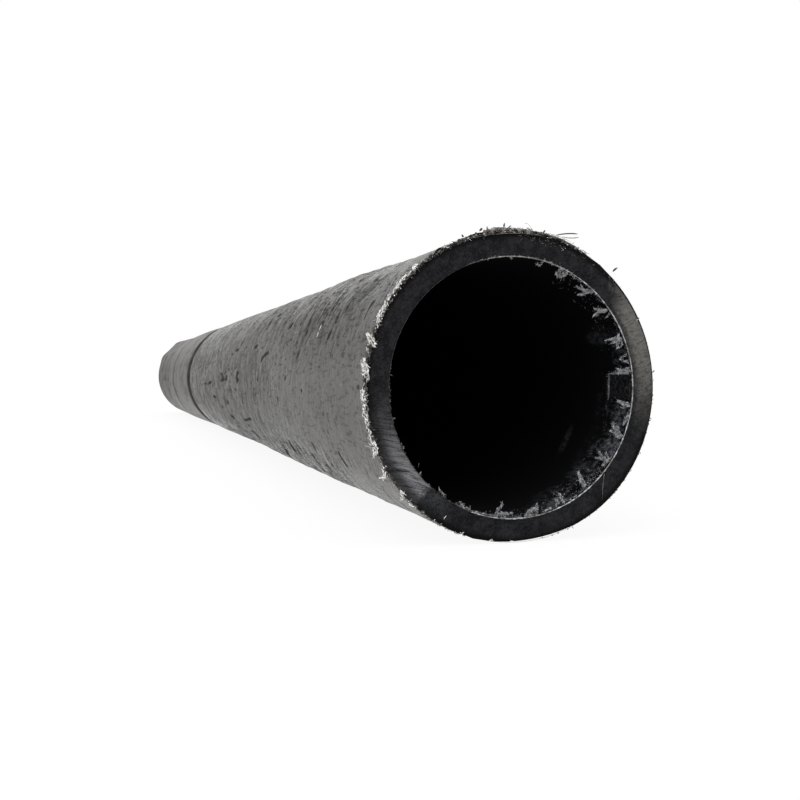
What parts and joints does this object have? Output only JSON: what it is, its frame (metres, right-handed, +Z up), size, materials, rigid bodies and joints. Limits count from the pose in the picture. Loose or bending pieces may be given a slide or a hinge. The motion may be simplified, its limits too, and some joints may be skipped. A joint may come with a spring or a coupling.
{
  "type": "fibreglass cable conduit pipe",
  "caption": "Straight heavy-wall fibreglass pipe that carries cables, with one plain sawn end and one turned end past a wide recess.",
  "frame": {"origin": "on the floor under the middle of the pipe as it lies, at the bottom centre of its box", "axes": "+Y along the pipe from the sawn face towards the turned end, +Z up, +X to the right when looking along +Y"},
  "size_m": [0.1189, 1.35, 0.119],
  "materials": {
    "black_fibreglass": "semi-gloss black resin over wound glass fibre, rough where it is sawn"
  },
  "bodies": {
    "root": {"conduit_pipe": "black_fibreglass"}
  },
  "joints": []
}
